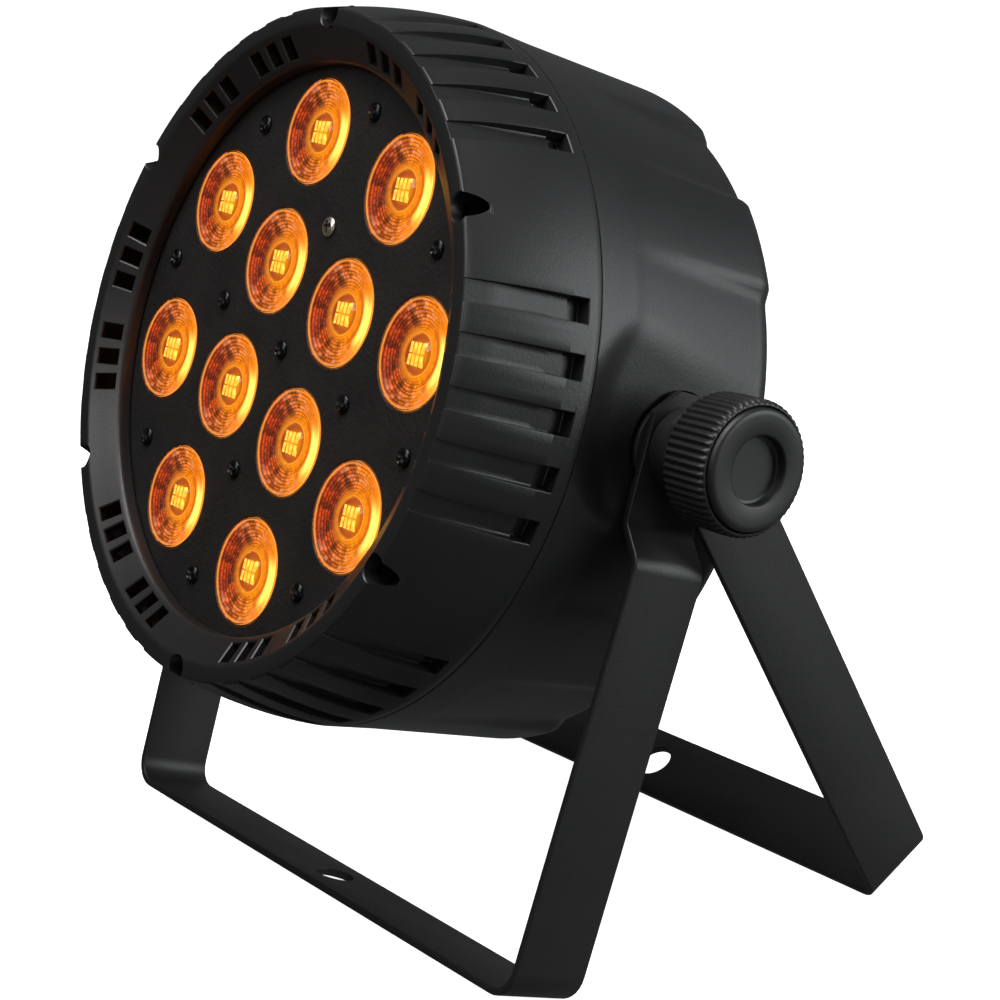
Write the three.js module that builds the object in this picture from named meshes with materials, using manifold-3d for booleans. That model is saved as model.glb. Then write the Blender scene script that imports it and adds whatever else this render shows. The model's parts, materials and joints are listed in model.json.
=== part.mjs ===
// Stage par can light: an LED head that tilts between two folding yokes.
// Units are millimetres. +Z is up, the head faces -Y and the tilt axis runs along X.
// The origin is the bottom centre of the bounding box, so both yokes stand on Z = 0.
import * as THREE from 'three';
import { mergeVertices } from 'three/addons/utils/BufferGeometryUtils.js';
import Module from 'manifold-3d';

// ---- driving dimensions ----
const CLEAR = 0.3;               // gap left between neighbouring pieces
const HEAD_TILT = 20.8;          // degrees the face looks above the horizon
const STRAP_W = 27;              // yoke strap width
const STRAP_T = 2.5;             // yoke strap thickness
const FRONT_YOKE = { lean: -22, length: 170, half: 116.1, shoulder: 121.5, arm: 112.5, bend: 10 };
const REAR_YOKE = { lean: 26.5, half: 125.2, bend: 6 };
const EAR_TOP = 16.7;            // strap end above the tilt axis
const EAR_CHAMFER = 8;
const CLAMP_HOLE = 13;           // bolt hole in each crossbar
const PIVOT_Y = 12.22;           // tilt axis, measured from the middle of the bounding box
const STUD_R = 4.9;

const RIM_R = 106.2;             // front rim of the bezel
const SEAM_R = 115;              // where bezel and rear housing meet
const SEAM_A = 40;               // distances named A run forward from the tilt axis
const RIM_A = 82.9;
const PLATE_A = 71.5;            // front of the lens plate
const PLATE_R = 96.4;
const WELL_R = 90.9;             // inside of the bezel step around the plate
const BACK_A = -36.3;            // rear face of the housing

const LENS_R = 17;
const LENS_RINGS = [
  { radius: 70, angles: [97.5, 52.5, 7.5, -37.5, -82.5, -127.5, -172.5, 142.5] },
  { radius: 31.1, angles: [120, 30, -60, -150] },
];
const SCREW_RINGS = [
  { radius: 0, angles: [0] },
  { radius: 42, angles: [75, 165, -105, -15] },
  { radius: 80, angles: [30, 75, 120, 165, -150, -105, -60, -15] },
];
const NOTCH_ANGLES = [30, 90, 150, 210, 270, 330];
const LOUVRE_STEP = 8.2;         // degrees between louvres of one group of five
const SLOT_STEP = 5.2;           // degrees between vent slots of one group of three

const rad = THREE.MathUtils.degToRad;
const wasm = await Module();
wasm.setup();

// ---- geometry helpers ----
function toSolid(geometry) {
  const bare = geometry.index ? geometry.toNonIndexed() : geometry.clone();
  for (const name of ['normal', 'uv']) bare.deleteAttribute(name);
  const merged = mergeVertices(bare, 1e-4);
  const position = merged.attributes.position;
  const source = merged.index.array;
  const faces = [];
  let volume = 0;
  const [a, b, c] = [new THREE.Vector3(), new THREE.Vector3(), new THREE.Vector3()];
  for (let i = 0; i < source.length; i += 3) {
    const [p, q, r] = [source[i], source[i + 1], source[i + 2]];
    if (p === q || q === r || p === r) continue;
    faces.push(p, q, r);
    a.fromBufferAttribute(position, p);
    b.fromBufferAttribute(position, q);
    c.fromBufferAttribute(position, r);
    volume += a.dot(b.cross(c));
  }
  if (volume < 0) {
    for (let i = 0; i < faces.length; i += 3) [faces[i], faces[i + 1]] = [faces[i + 1], faces[i]];
  }
  return new wasm.Manifold(new wasm.Mesh({
    numProp: 3,
    vertProperties: new Float32Array(position.array),
    triVerts: new Uint32Array(faces),
  }));
}

function toGeometry(solid) {
  const mesh = solid.getMesh();
  const geometry = new THREE.BufferGeometry();
  const stride = mesh.numProp;
  const points = new Float32Array(mesh.vertProperties.length / stride * 3);
  for (let i = 0; i < points.length / 3; i++) {
    for (let k = 0; k < 3; k++) points[3 * i + k] = mesh.vertProperties[i * stride + k];
  }
  geometry.setAttribute('position', new THREE.BufferAttribute(points, 3));
  geometry.setIndex(new THREE.BufferAttribute(new Uint32Array(mesh.triVerts), 1));
  geometry.computeVertexNormals();
  return geometry;
}

const union = (...solids) => solids.flat().reduce((sum, item) => sum.add(item));
const cut = (body, ...tools) => tools.flat().reduce((rest, item) => rest.subtract(item), body);

// Head space: x right, the second coordinate up, a forward along the optical axis (world -Y).
function lathe(profile, segments = 72) {
  const points = profile.map(([r, a]) => new THREE.Vector2(r, a));
  return new THREE.LatheGeometry(points, segments).rotateX(Math.PI);
}
const turned = (profile, segments) => toSolid(lathe(profile, segments));

function circlePoints(radius, segments, x = 0, y = 0, phase = 0) {
  return Array.from({ length: segments }, (_, i) => {
    const t = phase + 2 * Math.PI * i / segments;
    return new THREE.Vector2(x + radius * Math.cos(t), y + radius * Math.sin(t));
  });
}

function slab(outline, holes, from, to) {
  const shape = new THREE.Shape(outline);
  shape.holes = holes.map((points) => new THREE.Path(points));
  const options = { depth: to - from, bevelEnabled: false };
  return new THREE.ExtrudeGeometry(shape, options).rotateX(Math.PI / 2).translate(0, -from, 0);
}
const plate = (outline, from, to, holes = []) => toSolid(slab(outline, holes, from, to));

function rod(radius, from, to, segments = 12, x = 0, up = 0) {
  return plate(circlePoints(radius, segments, x, up), from, to);
}

function block(width, height, from, to, x = 0, up = 0) {
  return toSolid(new THREE.BoxGeometry(width, to - from, height).translate(x, -(from + to) / 2, up));
}

function cross(radius, from, to, side, segments = 24) {
  const length = to - from;
  return toSolid(new THREE.CylinderGeometry(radius, radius, length, segments)
    .rotateZ(Math.PI / 2).translate(side * (from + length / 2), 0, 0));
}

function flare(inner, outer, from, to, side) {
  const [top, bottom] = side > 0 ? [inner, outer] : [outer, inner];
  return toSolid(new THREE.CylinderGeometry(top, bottom, to - from, 32)
    .rotateZ(Math.PI / 2).translate(side * (from + to) / 2, 0, 0));
}

function tube(outer, inner, from, to, side, segments = 24) {
  return cut(cross(outer, from, to, side, segments), cross(inner, from - 1, to + 1, side, 12));
}

const spot = (radius, degrees) => [radius * Math.cos(rad(degrees)), radius * Math.sin(rad(degrees))];
const turnTo = (geometry, degrees) => geometry.rotateY(-rad(degrees));
const lensSpots = LENS_RINGS.flatMap((ring) => ring.angles.map((angle) => spot(ring.radius, angle)));
const screwSpots = SCREW_RINGS.flatMap((ring) => ring.angles.map((angle) => spot(ring.radius, angle)));
const notchSpots = NOTCH_ANGLES.map((angle) => spot(103.2, angle));

// ---- scene assembly ----
const group = new THREE.Group();
group.name = 'par_can_light';
const headPlace = new THREE.Matrix4();

function add(name, solid, colour, options = {}, place = headPlace) {
  const material = new THREE.MeshStandardMaterial({ color: colour, roughness: 0.5, ...options });
  const mesh = new THREE.Mesh(toGeometry(solid).applyMatrix4(place), material);
  mesh.name = name;
  group.add(mesh);
}

function yokeFrame(lean) {
  return new THREE.Matrix4().makeTranslation(0, PIVOT_Y, pivotHeight)
    .multiply(new THREE.Matrix4().makeRotationX(rad(lean)));
}

const halfW = STRAP_W / 2;
const standing = (length, lean) => length * Math.cos(rad(lean)) + halfW * Math.sin(rad(Math.abs(lean)));
const pivotHeight = standing(FRONT_YOKE.length, FRONT_YOKE.lean);
const rearFoot = halfW * Math.sin(rad(REAR_YOKE.lean));
REAR_YOKE.length = (pivotHeight - rearFoot) / Math.cos(rad(REAR_YOKE.lean));
headPlace.makeTranslation(0, PIVOT_Y, pivotHeight)
  .multiply(new THREE.Matrix4().makeRotationX(-rad(HEAD_TILT)));

const BLACK = 0x1b1b1d;
const PLASTIC = 0x232325;

// ---- front bezel ----
function frontBezel() {
  const shell = turned([[0, SEAM_A + CLEAR], [SEAM_R, SEAM_A + CLEAR], [112.6, 60],
    [RIM_R, 82.3], [104.8, RIM_A], [0, RIM_A]], 60);
  const bosses = notchSpots.map(([x, up]) => rod(5.6, 44, 76, 10, x, up));
  const hollow = turned([[0, 39], [111.5, 39], [111.5, 42.5], [108.2, 42.5], [105.6, 62],
    [101.4, 78.2], [99.2, 78.2], [93.6, 74.6], [93.6, 71.8], [0, 71.8]], 48);
  const funnel = turned([[0, 71], [WELL_R, 71], [WELL_R, 76.2], [99.6, 82], [101.2, 83.6], [0, 83.6]], 60);
  const floor = [[84, 120], [84, 105.2], [74, 107.6], [49.8, 111.2], [49.8, 109.8], [44.6, 109.8],
    [44.6, 120]].map(([a, r]) => new THREE.Vector2(r, a));
  const louvre = (degrees) => toSolid(turnTo(new THREE.ExtrudeGeometry(new THREE.Shape(floor),
    { depth: 7, bevelEnabled: false }).translate(0, 0, -3.5).rotateX(Math.PI), degrees));
  const slopeAngle = Math.atan2(82 - 76.2, 99.6 - WELL_R);
  const slot = (degrees) => toSolid(turnTo(new THREE.BoxGeometry(7.4, 7, 5.2)
    .rotateZ(-slopeAngle).translate(95.9, -78.4, 0), degrees));
  const louvres = [];
  const slots = [];
  for (let k = 0; k < 6; k++) {
    for (let i = -2; i <= 2; i++) louvres.push(louvre(60 * k + LOUVRE_STEP * i));
    for (const side of [-1, 1]) {
      for (let i = -1; i <= 1; i++) slots.push(slot(60 * k + 10.5 * side + SLOT_STEP * i));
    }
  }
  const pockets = NOTCH_ANGLES.map((angle) => rod(4.3, 70, 84, 12, ...spot(104.2, angle)));
  const bores = notchSpots.map(([x, up]) => rod(2, 43, 71, 6, x, up));
  return cut(cut(shell, hollow).add(union(bosses)), funnel, union(louvres), union(slots), union(pockets),
    union(bores));
}
add('front_bezel', frontBezel(), PLASTIC, { roughness: 0.42 });

// ---- lens plate, lenses and their screws ----
const plateHoles = [
  ...lensSpots.map(([x, up]) => circlePoints(LENS_R + 0.4, 18, x, up)),
  ...screwSpots.map(([x, up]) => circlePoints(2.2, 6, x, up)),
];
add('face_plate', plate(circlePoints(PLATE_R, 60), PLATE_A - 2, PLATE_A, plateHoles), 0x2a2a2b,
  { roughness: 0.7, metalness: 0.4 });

// Each lens stands on its LED and has a flange behind the plate.
const LENS_BACK = 55.9;
const lensProfile = [[0, LENS_BACK], [6, LENS_BACK], [18.6, 67.8], [18.6, 69.2], [LENS_R, 69.2],
  [LENS_R, 71.6], [16.2, 72.1], [7.2, 71.9], [6.3, 67.2], [0, 67.2]];
lensSpots.forEach(([x, up], i) => {
  const lens = toSolid(lathe(lensProfile, 18).translate(x, 0, up));
  add(`lens_${String(i + 1).padStart(2, '0')}`, lens, 0xff9a3c, { roughness: 0.1 });
});

function plateScrew(x, up) {
  const head = toSolid(lathe([[0, 62], [1.4, 62], [1.4, PLATE_A + CLEAR], [3.1, PLATE_A + CLEAR],
    [2.7, 73.2], [0, 73.6]], 8).translate(x, 0, up));
  return cut(head, rod(1.1, 72.6, 74.5, 4, x, up));
}
screwSpots.forEach(([x, up], i) => {
  add(`plate_screw_${String(i + 1).padStart(2, '0')}`, plateScrew(x, up), i === 1 ? 0xb9b9bd : 0x19191a,
    { roughness: 0.3, metalness: 0.9 });
});

notchSpots.forEach(([x, up], i) => {
  const screw = union(rod(1.6, 26, 70.8, 6, x, up), rod(3.1, 70.4, 73, 10, x, up));
  add(`bezel_screw_${i + 1}`, cut(screw, block(3.6, 0.8, 72.2, 74, x, up)), 0x202022,
    { roughness: 0.35, metalness: 0.9 });
});

// ---- LED board and heat sink ----
const FIN_A = 19.3;              // rear edge of the cooling fins
function ledBoard() {
  const holes = screwSpots.map(([x, up]) => circlePoints(4.2, 6, x, up));
  const board = plate(circlePoints(88, 48), 53, 54.6, holes);
  return union(board, lensSpots.map(([x, up]) => block(7, 7, 54.5, 55.6, x, up)));
}
add('led_board', ledBoard(), 0xe8e8e4, { roughness: 0.6 });

// The fins carry the fan. Six ears are clamped between the bezel's and the housing's bosses.
function heatSink() {
  const fins = [];
  for (let x = -77; x <= 77; x += 11) fins.push(block(2, 2 * Math.sqrt(88 * 88 - x * x), FIN_A, 47, x));
  const posts = screwSpots.map(([x, up]) => rod(3.3, 52, 69.2, 6, x, up));
  const bores = screwSpots.map(([x, up]) => rod(1.8, 61, 70, 6, x, up));
  const ears = NOTCH_ANGLES.flatMap((angle) => [[[20, 3.4, 9], [94, -42, 0]], [[5, 6.6, 9], [86.5, -43.6, 0]]]
    .map(([size, at]) => toSolid(turnTo(new THREE.BoxGeometry(...size).translate(...at), angle))));
  const tips = notchSpots.map(([x, up]) => rod(4.4, SEAM_A + CLEAR, SEAM_A + 3.7, 10, x, up));
  const holes = notchSpots.map(([x, up]) => rod(2.1, SEAM_A - 1, SEAM_A + 5, 6, x, up));
  return cut(union(rod(90, 46.5, 52.7, 48), fins, posts, ears, tips), union(bores), union(holes));
}
add('heat_sink', heatSink(), 0xb4b6b8, { roughness: 0.35, metalness: 0.9 });

// ---- cooling fan ----
function fanFrame() {
  const corner = 35;
  const body = cut(block(76, 76, 4, 19), rod(34.5, 3, 20, 32),
    [[-1, -1], [-1, 1], [1, -1], [1, 1]].map(([sx, su]) => rod(2, 3, 20, 8, sx * corner * 0.94, su * corner * 0.94)));
  const arms = [0, 120, 240].map((angle) => toSolid(turnTo(new THREE.BoxGeometry(38, 2.4, 3)
    .translate(19, -5.2, 0), angle)));
  return union(body, arms, rod(13, 4, 6.4, 20));
}
add('fan_frame', fanFrame(), BLACK, { roughness: 0.5 });

function fanRotor() {
  const blades = [];
  for (let i = 0; i < 7; i++) {
    blades.push(toSolid(turnTo(new THREE.BoxGeometry(20, 1.6, 14).rotateX(0.6)
      .translate(22.5, -12.7, 0), i * 360 / 7)));
  }
  return union(rod(14, 7, 18.4, 20), blades);
}
add('fan_rotor', fanRotor(), 0x161617, { roughness: 0.45 });

// ---- electronics ----
function powerBoard() {
  const board = block(112, 44, 1, 2.6, 0, -64);
  const parts = [[26, 22, 14, -30, -62], [18, 14, 12, -4, -70], [12, 12, 15, 14, -60], [12, 12, 15, 30, -60],
    [8, 20, 10, 46, -64], [14, 6, 8, 8, -78]];
  const legs = [[-44, -46], [44, -46], [-33, -80], [33, -80]]
    .map(([x, up]) => rod(3, 2.4, FIN_A - CLEAR, 8, x, up));
  return union(board, legs, parts.map(([w, h, tall, x, up]) => block(w, h, 2.5, 2.6 + tall, x, up)));
}
add('power_board', powerBoard(), 0x2f6b46, { roughness: 0.6 });

function controlBoard() {
  const board = block(84, 50, -26, -24.4, 0, 34);
  const display = block(48, 17, -31.4, -25.9, 0, 47);
  const switches = [-27, -9, 9, 27].map((x) => block(6, 6, -28, -25.9, x, 24));
  const legs = [[-38, 14], [38, 14], [-38, 54], [38, 54]].map(([x, up]) => rod(2.5, -32, -25.8, 8, x, up));
  return union(board, display, switches, legs, block(14, 14, -24.5, -22.4, -18, 32),
    block(20, 5, -24.5, -18, 20, 16));
}
add('control_board', controlBoard(), 0x27603f, { roughness: 0.6 });

// ---- rear housing ----
// Sectors of the wall that sink towards the back, as [from, to] in degrees, mirrored on both axes.
const SUNK = [[0, 27], [48, 60]];
// Columns of the lathe moved in beside a step so that the step is 3 degrees wide.
const MOVED = { 24: 27, 42: 45, 66: 63 };
const fold = (degrees) => {
  const t = Math.abs(degrees);
  return t > 90 ? 180 - t : t;
};
const sunk = (degrees) => SUNK.some(([from, to]) => fold(degrees) > from - 0.5 && fold(degrees) < to + 0.5);
function stepColumn(degrees) {
  const from = Math.round(fold(degrees));
  const shift = from in MOVED ? MOVED[from] - from : 0;
  const outward = Math.abs(degrees) > 90 ? -shift : shift;
  return degrees + Math.sign(degrees) * outward;
}

function rearHousing() {
  const skin = lathe([[0, BACK_A], [106, BACK_A], [110.4, -34.6], [113, -30], [114.2, 22],
    [SEAM_R, SEAM_A], [0, SEAM_A]], 60);
  const position = skin.attributes.position;
  for (let i = 0; i < position.count; i++) {
    const [x, a, up] = [position.getX(i), -position.getY(i), position.getZ(i)];
    const r = Math.hypot(x, up);
    if (r < 50) continue;
    const angle = stepColumn(THREE.MathUtils.radToDeg(Math.atan2(up, x)));
    const depth = a < 20 && sunk(angle) ? 2.4 * Math.min(1, (22 - a) / 52) : 0;
    const [newX, newUp] = spot(r - depth, angle);
    position.setX(i, newX);
    position.setZ(i, newUp);
  }
  const inside = turned([[0, -29.5], [103.5, -29.5], [108.6, -24], [110.6, SEAM_A + 1], [0, SEAM_A + 1]], 40);
  const opening = union(rod(87.2, -40, -32, 48), rod(81, -40, -20, 40));
  const side = [1, -1];
  const pads = side.map((s) => cross(34, 103, 111.5, s, 24));
  const insideRound = toSolid(lathe([[0, -32], [104, -32], [109.4, -28], [110.8, 34], [0, 34]], 40));
  const recesses = side.map((s) => union(cross(17, 107.5, 125, s, 32), flare(29, 37, 109.3, 116.3, s)));
  const bores = side.map((s) => cross(5.4, 95, 115, s, 16));
  const bosses = notchSpots.map(([x, up]) => rod(8, 22, SEAM_A, 12, x, up));
  const bossBores = notchSpots.map(([x, up]) => rod(2, 24, SEAM_A + 1, 6, x, up));
  const padding = union(pads).intersect(insideRound);
  return cut(union(cut(toSolid(skin), inside), bosses, padding), opening, recesses, bores, bossBores);
}
add('rear_housing', rearHousing(), PLASTIC, { roughness: 0.42 });

// ---- rear panel with its controls and sockets ----
const rectangle = (w, h, x = 0, up = 0) => [[-1, -1], [1, -1], [1, 1], [-1, 1]]
  .map(([sx, su]) => new THREE.Vector2(x + sx * w / 2, up + su * h / 2));
const BUTTON_XS = [-27, -9, 9, 27];
const SOCKETS = [
  { name: 'dmx_in', x: -40, up: -8 }, { name: 'dmx_out', x: 40, up: -8 },
  { name: 'power_in', x: -25, up: -50 }, { name: 'power_out', x: 25, up: -50 },
];
const panelHoles = [
  rectangle(53, 21, 0, 47),
  ...BUTTON_XS.map((x) => circlePoints(4.5, 10, x, 24)),
  ...SOCKETS.map(({ x, up }) => circlePoints(12, 20, x, up)),
  ...[-16, -10, -4, 2, 8].map((up) => rectangle(34, 2.6, 0, up - 6)),
];
add('rear_panel', plate(circlePoints(86.6, 48), -34.3, -32.3, panelHoles), 0x1e1e20,
  { roughness: 0.6, metalness: 0.3 });
add('display_window', block(52.4, 20.4, -34.9, -32.6, 0, 47), 0x0b1a24, { roughness: 0.08 });
BUTTON_XS.forEach((x, i) => {
  const button = union(rod(4.05, -36.2, -31.9, 10, x, 24), rod(5.4, -31.95, -30.6, 10, x, 24),
    rod(1.6, -30.7, -28.9, 6, x, 24));
  add(`button_${i + 1}`, button, 0x3a3a3d, { roughness: 0.5 });
});

function socket({ name, x, up }) {
  const flange = plate([[-13, -15], [13, -15], [13, 15], [-13, 15]].map(([dx, du]) => new THREE.Vector2(x + dx, up + du)),
    -36, -34.6, [[-9.5, 12], [9.5, -12]].map(([dx, du]) => circlePoints(1.7, 8, x + dx, up + du)));
  const barrel = union(flange, rod(11.6, -36.9, -14, 20, x, up));
  const pins = [90, 210, 330].map((angle) => spot(3.6, angle));
  if (name === 'dmx_in') {
    const open = cut(barrel, rod(9.2, -38, -18, 20, x, up));
    return union(open, pins.map(([dx, du]) => rod(1.2, -30.9, -17, 8, x + dx, up + du)));
  }
  if (name === 'dmx_out') {
    return cut(barrel, pins.map(([dx, du]) => rod(1.4, -38, -26, 8, x + dx, up + du)));
  }
  const ring = cut(rod(9.6, -38, -18, 16, x, up), rod(6.2, -39, -17, 12, x, up), block(3, 6, -39, -17, x, up + 6.5));
  const contacts = name === 'power_in' ? [90, 210, 330] : [30, 150, 270];
  return cut(barrel, ring, contacts.map((angle) => spot(3.2, angle))
    .map(([dx, du]) => block(1.4, 2.6, -38, -28, x + dx, up + du)));
}
for (const item of SOCKETS) {
  const colour = item.name === 'power_in' ? 0x2a5fa8 : item.name === 'power_out' ? 0xb9bcc0 : 0x8f9296;
  add(item.name, socket(item), colour, { roughness: 0.4, metalness: item.name.startsWith('dmx') ? 0.8 : 0 });
}

// ---- tilt pivots: stud, friction washer and spacer on each side ----
const BASE_X = 125.5;            // inner end of the knob
const FACE_X = 146.3;            // outer face of the knob
const pivotPlace = new THREE.Matrix4().makeTranslation(0, PIVOT_Y, pivotHeight);
for (const [label, side] of [['right', 1], ['left', -1]]) {
  const stud = union(cross(11, 97, 102.7, side, 6), cross(STUD_R, 102.6, 139, side, 16));
  add(`pivot_stud_${label}`, stud, 0xaeb0b4, { roughness: 0.3, metalness: 0.9 });
  add(`friction_washer_${label}`, tube(15, 5.4, 107.8, 109.7, side), 0x111112, { roughness: 0.8 });
  add(`spacer_${label}`, tube(13, 5.4, 112.8, 122.4, side), 0x2b2b2d, { roughness: 0.5 });
}

// ---- knobs ----
function knob(side) {
  const ribs = 36;
  const outline = Array.from({ length: ribs * 2 }, (_, i) => {
    const r = i % 2 ? 19.3 : 20.4;
    return new THREE.Vector2(r * Math.cos(Math.PI * i / ribs), r * Math.sin(Math.PI * i / ribs));
  });
  const grip = toSolid(new THREE.ExtrudeGeometry(new THREE.Shape(outline), { depth: 17.8, bevelEnabled: false })
    .rotateY(Math.PI / 2).translate(BASE_X + 1.2, 0, 0));
  const foot = cross(17, BASE_X, BASE_X + 2, 1, 24);
  const cap = cross(18.6, FACE_X - 2.6, FACE_X, 1, 32);
  const solid = cut(union(grip, foot, cap), cross(10.2, FACE_X - 3.4, FACE_X + 1, 1, 24), cross(5.4, 120, 140, 1, 16));
  return side > 0 ? solid : solid.mirror([1, 0, 0]);
}
add('knob_right', knob(1), 0x242426, { roughness: 0.5 }, pivotPlace);
add('knob_left', knob(-1), 0x242426, { roughness: 0.5 }, pivotPlace);

// ---- yokes ----
// A strap outline in (x, down) space, rounded where it turns into the crossbar.
function bendPoints(half, length, radius, steps) {
  return Array.from({ length: steps + 1 }, (_, i) => {
    const t = Math.PI / 2 * i / steps;
    return [half - radius + radius * Math.cos(t), length - radius + radius * Math.sin(t)];
  });
}

function yoke(outer, inner, length) {
  const mirrored = (path) => [...path, ...path.map(([x, s]) => [-x, s]).reverse()];
  const outline = [...mirrored(outer), ...mirrored(inner).reverse()];
  const shape = new THREE.Shape(outline.map(([x, s]) => new THREE.Vector2(x, -s)));
  const strap = toSolid(new THREE.ExtrudeGeometry(shape, { depth: STRAP_W, bevelEnabled: false })
    .translate(0, 0, -halfW).rotateX(Math.PI / 2));
  const c = EAR_CHAMFER;
  const side = [[-halfW, -length - 5], [halfW, -length - 5], [halfW, EAR_TOP - c], [halfW - c, EAR_TOP],
    [c - halfW, EAR_TOP], [-halfW, EAR_TOP - c]].map(([v, z]) => new THREE.Vector2(v, z));
  const mask = toSolid(new THREE.ExtrudeGeometry(new THREE.Shape(side), { depth: 300, bevelEnabled: false })
    .rotateX(Math.PI / 2).rotateZ(Math.PI / 2).translate(-150, 0, 0));
  const clamp = toSolid(new THREE.CylinderGeometry(CLAMP_HOLE / 2, CLAMP_HOLE / 2, 20, 24).rotateY(0.1)
    .translate(0, -length, 0).rotateX(Math.PI / 2));
  return cut(strap.intersect(mask), cross(5.4, -150, 150, 1, 20), clamp);
}

function frontYoke() {
  const { half, shoulder, arm, bend, length } = FRONT_YOKE;
  const outer = [[arm, -EAR_TOP - 4], [arm, 24], [shoulder, 34], ...bendPoints(half, length, bend, 6)];
  const inner = [[arm - STRAP_T, -EAR_TOP - 4], [arm - STRAP_T, 25], [shoulder - STRAP_T, 35],
    ...bendPoints(half - STRAP_T, length - STRAP_T, bend - STRAP_T, 6)];
  return yoke(outer, inner, length);
}

function rearYoke() {
  const { half, bend, length } = REAR_YOKE;
  const outer = [[half, -EAR_TOP - 4], ...bendPoints(half, length, bend, 5)];
  const inner = [[half - STRAP_T, -EAR_TOP - 4],
    ...bendPoints(half - STRAP_T, length - STRAP_T, bend - STRAP_T, 5)];
  return yoke(outer, inner, length);
}
add('front_yoke', frontYoke(), 0x262628, { roughness: 0.6, metalness: 0.5 }, yokeFrame(FRONT_YOKE.lean));
add('rear_yoke', rearYoke(), 0x262628, { roughness: 0.6, metalness: 0.5 }, yokeFrame(REAR_YOKE.lean));

export default group;
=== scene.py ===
import json
import math

import bmesh
import bpy
from mathutils import Matrix, Vector


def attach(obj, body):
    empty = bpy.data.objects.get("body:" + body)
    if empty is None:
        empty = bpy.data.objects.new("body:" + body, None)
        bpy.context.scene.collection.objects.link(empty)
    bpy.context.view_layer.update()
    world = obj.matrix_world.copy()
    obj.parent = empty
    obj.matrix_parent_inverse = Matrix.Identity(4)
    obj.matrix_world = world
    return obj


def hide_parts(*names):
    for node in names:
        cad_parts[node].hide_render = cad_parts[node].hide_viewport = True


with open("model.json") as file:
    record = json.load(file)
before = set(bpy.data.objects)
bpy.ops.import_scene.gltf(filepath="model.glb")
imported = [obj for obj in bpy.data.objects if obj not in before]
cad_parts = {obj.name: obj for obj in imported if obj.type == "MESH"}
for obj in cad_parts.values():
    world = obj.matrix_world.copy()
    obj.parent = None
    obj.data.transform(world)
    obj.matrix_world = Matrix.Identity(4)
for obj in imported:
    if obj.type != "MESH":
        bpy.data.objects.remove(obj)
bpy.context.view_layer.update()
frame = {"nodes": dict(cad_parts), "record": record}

RECORD = frame["record"]
MM = 0.001
scene = bpy.context.scene

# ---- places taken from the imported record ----
JOINTS = {joint["name"]: joint for joint in RECORD["behaviour"]["joints"]}
PIVOT = Vector(JOINTS["front_yoke_swing"]["pos_m"])
OPTICAL = Vector(JOINTS["fan_spin"]["axis"])
TILT = math.atan2(OPTICAL.z, -OPTICAL.y)
HEAD = Matrix.Translation(PIVOT) @ Matrix.Rotation(-TILT, 4, "X")


def yoke_place(mount):
    """The frame of a yoke, from the outward normal of its crossbar."""
    axis = next(Vector(m["axis"]) for m in RECORD["mounts"] if m["name"] == mount)
    return Matrix.Translation(PIVOT) @ Matrix.Rotation(math.atan2(axis.y, -axis.z), 4, "X")


# ---- dimensions in millimetres ----
# r is the distance from the optical axis and a the distance forward of the tilt axis.
LENS_RINGS = [(70.0, [97.5, 52.5, 7.5, -37.5, -82.5, -127.5, -172.5, 142.5]), (31.1, [120, 30, -60, -150])]
SCREW_RINGS = [(0.0, [0]), (42.0, [75, 165, -105, -15]), (80.0, [30, 75, 120, 165, -150, -105, -60, -15])]
NOTCHES = [30, 90, 150, 210, 270, 330]
LOUVRE_STEP, SLOT_STEP = 8.2, 5.2
SECTORS, SECTOR = 6, 60
DRUM_R, SEAM_A, BEZEL_BACK = 115.0, 40.0, 40.3
PLATE_A, PLATE_BACK, PLATE_R = 71.5, 69.5, 96.4
LENS_R, LENS_RIBS, RING_PITCH = 17.0, 44, 1.12
SCREW_R, SCREW_SEAT, SCREW_RISE = 3.1, PLATE_A + 0.3, 1.35
BORE_R, SIDE_FLAT_X, PAD_R = 5.4, 109.3, 26.0
STRAP_WIDTH, STRAP_THICK, CLAMP_R = 27.0, 2.5, 6.5
PANEL_A, PANEL_R, WINDOW_UP, BUTTON_UP = -34.3, 86.6, 47, 24


def polar(radius, degrees):
    """(x, up) at an angle from the right-hand side, seen from the front."""
    return radius * math.cos(math.radians(degrees)), radius * math.sin(math.radians(degrees))


LENS_SPOTS = [polar(r, t) for r, angles in LENS_RINGS for t in angles]
SCREW_SPOTS = [polar(r, t) for r, angles in SCREW_RINGS for t in angles]
NOTCH_SPOTS = [polar(103.2, t) for t in NOTCHES]


def lerp_table(table, value):
    """Straight-line reading of a table of (place, value) pairs, held level past its ends."""
    if value <= table[0][0]:
        return table[0][1]
    for (x0, y0), (x1, y1) in zip(table, table[1:]):
        if value <= x1:
            return y0 + (y1 - y0) * (value - x0) / (x1 - x0)
    return table[-1][1]


def smoothstep(low, high, value):
    t = min(1.0, max(0.0, (value - low) / (high - low)))
    return t * t * (3 - 2 * t)


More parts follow.
